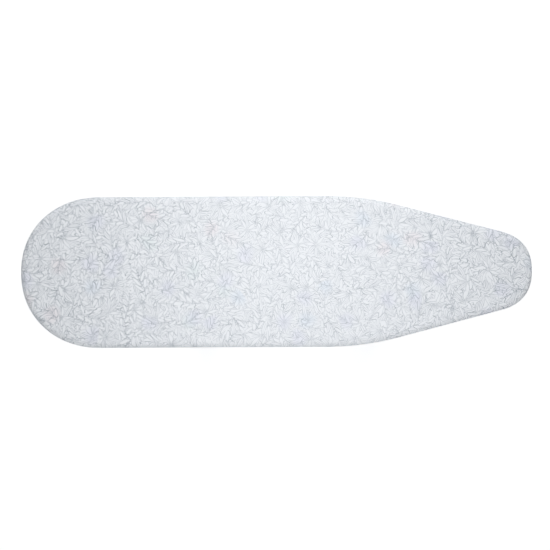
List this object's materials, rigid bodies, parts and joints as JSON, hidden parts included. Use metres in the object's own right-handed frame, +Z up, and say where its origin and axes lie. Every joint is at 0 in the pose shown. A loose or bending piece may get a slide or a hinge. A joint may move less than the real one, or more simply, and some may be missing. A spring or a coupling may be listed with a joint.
{
  "type": "ironing board",
  "caption": "Full-size folding ironing board with a padded cloth-covered top, crossed tube legs, sliding carriage lock and release grip.",
  "frame": {"origin": "on the floor under the middle of the board's length and width", "axes": "+X along the board to its narrow nose, +Y to the left of a person at the wide end who faces the nose, +Z up"},
  "size_m": [1.21, 0.3574, 0.9107],
  "materials": {
    "cotton": "light woven cotton with a faint leaf print",
    "felt": "soft pressed felt",
    "elastic": "covered elastic cord",
    "coated_panel": "pale grey powder coat, satin",
    "coated_tube": "off-white powder coat, satin",
    "zinc": "zinc-plated steel",
    "grey_plastic": "moulded grey plastic",
    "blue_plastic": "moulded blue-grey plastic",
    "nylon": "dark moulded nylon"
  },
  "bodies": {
    "board": {"cover": "cotton", "felt_pad": "felt", "hem_elastic": "elastic", "rim_frame": "coated_panel", "top_panel": "coated_panel", "nose_rib": "coated_panel", "hinge_rib": "coated_panel", "front_rail_rib": "coated_panel", "middle_rib": "coated_panel", "rear_rail_rib": "coated_panel", "hinge_bracket_left": "zinc", "hinge_bracket_right": "zinc", "hinge_pin_left": "zinc", "hinge_pin_right": "zinc", "rod_bracket_front": "zinc", "rod_bracket_rear": "zinc", "guide_rod_left": "zinc", "guide_rod_right": "zinc", "bail_clip_front": "nylon", "bail_clip_rear": "nylon", "bail_spring": "zinc"},
    "outer_leg": {"outer_leg_tube_left": "coated_tube", "outer_leg_tube_right": "coated_tube", "outer_leg_plug_left": "grey_plastic", "outer_leg_plug_right": "grey_plastic", "outer_foot_cap_left": "grey_plastic", "outer_foot_cap_right": "grey_plastic", "outer_leg_brace": "coated_tube", "outer_foot_bar": "coated_tube", "scissor_bolt_left": "zinc", "scissor_bolt_right": "zinc", "scissor_spacer_left": "nylon", "scissor_spacer_right": "nylon"},
    "inner_leg": {"inner_leg_tube_left": "coated_tube", "inner_leg_tube_right": "coated_tube", "inner_leg_plug_left": "grey_plastic", "inner_leg_plug_right": "grey_plastic", "inner_foot_cap_left": "grey_plastic", "inner_foot_cap_right": "grey_plastic", "inner_leg_brace": "coated_tube", "inner_foot_bar": "coated_tube", "slide_axle": "zinc"},
    "carriage": {"slide_carriage": "nylon", "lock_spring_left": "zinc", "lock_spring_right": "zinc"},
    "lock": {"lock_plate": "zinc"},
    "bail": {"release_bail": "zinc", "release_grip": "blue_plastic"}
  },
  "joints": [
    {"name": "leg_fold", "type": "hinge", "parent": "board", "child": "outer_leg", "pos_m": [0.245, 0, 0.8626], "axis": [0, 1, 0], "range_deg": [0, 59]},
    {"name": "leg_cross", "type": "hinge", "parent": "outer_leg", "child": "inner_leg", "pos_m": [0.04414, 0, 0.5283], "axis": [0, 1, 0], "range_deg": [-118.2, 0]},
    {"name": "carriage_pivot", "type": "hinge", "parent": "inner_leg", "child": "carriage", "pos_m": [-0.15673, 0, 0.8626], "axis": [0, 1, 0], "range_deg": [0, 59.1]},
    {"name": "release_squeeze", "type": "hinge", "parent": "board", "child": "bail", "pos_m": [-0.32, -0.08, 0.8886], "axis": [-1, 0, 0], "range_deg": [0, 11], "stiffness_Nm_per_rad": 1.2, "springref_deg": -14.32, "deforming": ["bail_spring"]},
    {"name": "lock_plate_tilt", "type": "hinge", "parent": "carriage", "child": "lock", "pos_m": [-0.14813, 0, 0.8728], "axis": [0, -1, 0], "range_deg": [0, 4.7], "deforming": ["lock_spring_left", "lock_spring_right"]}
  ],
  "couplings": [
    {"joint": "leg_cross", "follows": "leg_fold", "ratio": -2},
    {"joint": "carriage_pivot", "follows": "leg_fold", "ratio": 1},
    {"joint": "lock_plate_tilt", "follows": "release_squeeze", "ratio": 0.425}
  ]
}
